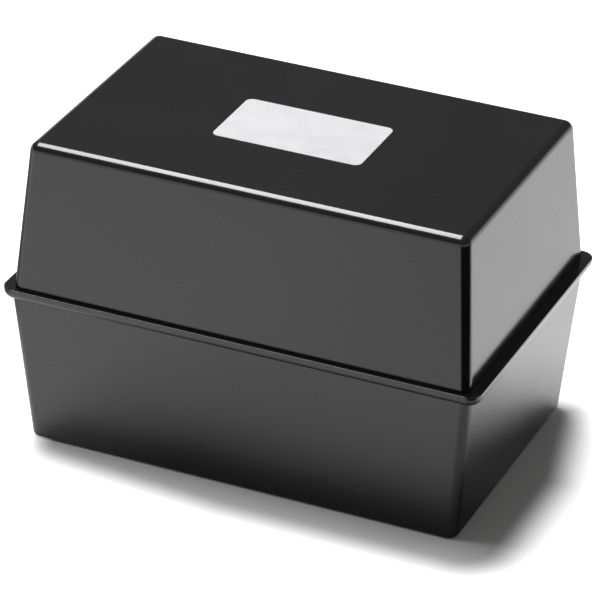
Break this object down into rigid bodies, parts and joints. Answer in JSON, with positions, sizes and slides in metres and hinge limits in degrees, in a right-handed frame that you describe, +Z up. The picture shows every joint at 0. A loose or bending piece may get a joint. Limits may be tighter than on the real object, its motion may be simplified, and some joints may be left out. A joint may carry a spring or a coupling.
{
  "type": "index card box",
  "caption": "Hinged-lid desk box for 6 by 4 inch index cards: two drafted black shells meeting at a rim, a lid label and lettered guide cards.",
  "frame": {"origin": "middle of the underside, on the surface that the box stands on", "axes": "+X along the box's width to the right as seen from the front, +Y to the back where the hinges are, +Z up"},
  "size_m": [0.1774, 0.1205, 0.115],
  "materials": {
    "black_polystyrene": "satin gloss moulded",
    "label_paper": "matt white, uncoated",
    "pin_steel": "drawn bright wire",
    "guide_board": "buff manilla, smooth"
  },
  "bodies": {
    "base": {"base_tub": "black_polystyrene", "hinge_pin_left": "pin_steel", "hinge_pin_right": "pin_steel"},
    "lid": {"lid_shell": "black_polystyrene", "lid_label": "label_paper"},
    "guide_a": {"guide_card_a": "guide_board"},
    "guide_b": {"guide_card_b": "guide_board"},
    "guide_c": {"guide_card_c": "guide_board"},
    "guide_d": {"guide_card_d": "guide_board"},
    "guide_e": {"guide_card_e": "guide_board"},
    "guide_f": {"guide_card_f": "guide_board"},
    "guide_g": {"guide_card_g": "guide_board"},
    "guide_h": {"guide_card_h": "guide_board"},
    "guide_ij": {"guide_card_ij": "guide_board"},
    "guide_k": {"guide_card_k": "guide_board"},
    "guide_l": {"guide_card_l": "guide_board"},
    "guide_m": {"guide_card_m": "guide_board"},
    "guide_n": {"guide_card_n": "guide_board"},
    "guide_o": {"guide_card_o": "guide_board"},
    "guide_pq": {"guide_card_pq": "guide_board"},
    "guide_r": {"guide_card_r": "guide_board"},
    "guide_s": {"guide_card_s": "guide_board"},
    "guide_t": {"guide_card_t": "guide_board"},
    "guide_uv": {"guide_card_uv": "guide_board"},
    "guide_wz": {"guide_card_wz": "guide_board"}
  },
  "joints": [
    {"name": "lid_hinge", "type": "hinge", "parent": "base", "child": "lid", "pos_m": [0, 0.0603, 0.05785], "axis": [-1, 0, 0], "range_deg": [0, 100]},
    {"name": "guide_a_tilt", "type": "hinge", "parent": "base", "child": "guide_a", "pos_m": [0, 0.02569, 0.0027], "axis": [1, 0, 0], "range_deg": [0, 32]},
    {"name": "guide_b_tilt", "type": "hinge", "parent": "base", "child": "guide_b", "pos_m": [0, 0.02654, 0.0027], "axis": [1, 0, 0], "range_deg": [0, 30.65]},
    {"name": "guide_c_tilt", "type": "hinge", "parent": "base", "child": "guide_c", "pos_m": [0, 0.02739, 0.0027], "axis": [1, 0, 0], "range_deg": [0, 29.31]},
    {"name": "guide_d_tilt", "type": "hinge", "parent": "base", "child": "guide_d", "pos_m": [0, 0.02824, 0.0027], "axis": [1, 0, 0], "range_deg": [0, 27.96]},
    {"name": "guide_e_tilt", "type": "hinge", "parent": "base", "child": "guide_e", "pos_m": [0, 0.02909, 0.0027], "axis": [1, 0, 0], "range_deg": [0, 26.61]},
    {"name": "guide_f_tilt", "type": "hinge", "parent": "base", "child": "guide_f", "pos_m": [0, 0.02994, 0.0027], "axis": [1, 0, 0], "range_deg": [0, 25.26]},
    {"name": "guide_g_tilt", "type": "hinge", "parent": "base", "child": "guide_g", "pos_m": [0, 0.03079, 0.0027], "axis": [1, 0, 0], "range_deg": [0, 23.92]},
    {"name": "guide_h_tilt", "type": "hinge", "parent": "base", "child": "guide_h", "pos_m": [0, 0.03164, 0.0027], "axis": [1, 0, 0], "range_deg": [0, 22.57]},
    {"name": "guide_ij_tilt", "type": "hinge", "parent": "base", "child": "guide_ij", "pos_m": [0, 0.03249, 0.0027], "axis": [1, 0, 0], "range_deg": [0, 21.22]},
    {"name": "guide_k_tilt", "type": "hinge", "parent": "base", "child": "guide_k", "pos_m": [0, 0.03334, 0.0027], "axis": [1, 0, 0], "range_deg": [0, 19.87]},
    {"name": "guide_l_tilt", "type": "hinge", "parent": "base", "child": "guide_l", "pos_m": [0, 0.03419, 0.0027], "axis": [1, 0, 0], "range_deg": [0, 18.53]},
    {"name": "guide_m_tilt", "type": "hinge", "parent": "base", "child": "guide_m", "pos_m": [0, 0.03504, 0.0027], "axis": [1, 0, 0], "range_deg": [0, 17.18]},
    {"name": "guide_n_tilt", "type": "hinge", "parent": "base", "child": "guide_n", "pos_m": [0, 0.03589, 0.0027], "axis": [1, 0, 0], "range_deg": [0, 15.83]},
    {"name": "guide_o_tilt", "type": "hinge", "parent": "base", "child": "guide_o", "pos_m": [0, 0.03674, 0.0027], "axis": [1, 0, 0], "range_deg": [0, 14.48]},
    {"name": "guide_pq_tilt", "type": "hinge", "parent": "base", "child": "guide_pq", "pos_m": [0, 0.03759, 0.0027], "axis": [1, 0, 0], "range_deg": [0, 13.14]},
    {"name": "guide_r_tilt", "type": "hinge", "parent": "base", "child": "guide_r", "pos_m": [0, 0.03844, 0.0027], "axis": [1, 0, 0], "range_deg": [0, 11.79]},
    {"name": "guide_s_tilt", "type": "hinge", "parent": "base", "child": "guide_s", "pos_m": [0, 0.03929, 0.0027], "axis": [1, 0, 0], "range_deg": [0, 10.44]},
    {"name": "guide_t_tilt", "type": "hinge", "parent": "base", "child": "guide_t", "pos_m": [0, 0.04014, 0.0027], "axis": [1, 0, 0], "range_deg": [0, 9.09]},
    {"name": "guide_uv_tilt", "type": "hinge", "parent": "base", "child": "guide_uv", "pos_m": [0, 0.04099, 0.0027], "axis": [1, 0, 0], "range_deg": [0, 7.75]},
    {"name": "guide_wz_tilt", "type": "hinge", "parent": "base", "child": "guide_wz", "pos_m": [0, 0.04184, 0.0027], "axis": [1, 0, 0], "range_deg": [0, 6.4]}
  ],
  "couplings": [
    {"joint": "guide_b_tilt", "follows": "guide_a_tilt", "ratio": 0.9579},
    {"joint": "guide_c_tilt", "follows": "guide_a_tilt", "ratio": 0.91579},
    {"joint": "guide_d_tilt", "follows": "guide_a_tilt", "ratio": 0.87368},
    {"joint": "guide_e_tilt", "follows": "guide_a_tilt", "ratio": 0.83158},
    {"joint": "guide_f_tilt", "follows": "guide_a_tilt", "ratio": 0.78947},
    {"joint": "guide_g_tilt", "follows": "guide_a_tilt", "ratio": 0.74737},
    {"joint": "guide_h_tilt", "follows": "guide_a_tilt", "ratio": 0.70526},
    {"joint": "guide_ij_tilt", "follows": "guide_a_tilt", "ratio": 0.66316},
    {"joint": "guide_k_tilt", "follows": "guide_a_tilt", "ratio": 0.62105},
    {"joint": "guide_l_tilt", "follows": "guide_a_tilt", "ratio": 0.57895},
    {"joint": "guide_m_tilt", "follows": "guide_a_tilt", "ratio": 0.53684},
    {"joint": "guide_n_tilt", "follows": "guide_a_tilt", "ratio": 0.49474},
    {"joint": "guide_o_tilt", "follows": "guide_a_tilt", "ratio": 0.45263},
    {"joint": "guide_pq_tilt", "follows": "guide_a_tilt", "ratio": 0.41053},
    {"joint": "guide_r_tilt", "follows": "guide_a_tilt", "ratio": 0.36842},
    {"joint": "guide_s_tilt", "follows": "guide_a_tilt", "ratio": 0.32632},
    {"joint": "guide_t_tilt", "follows": "guide_a_tilt", "ratio": 0.28421},
    {"joint": "guide_uv_tilt", "follows": "guide_a_tilt", "ratio": 0.2421},
    {"joint": "guide_wz_tilt", "follows": "guide_a_tilt", "ratio": 0.2}
  ]
}
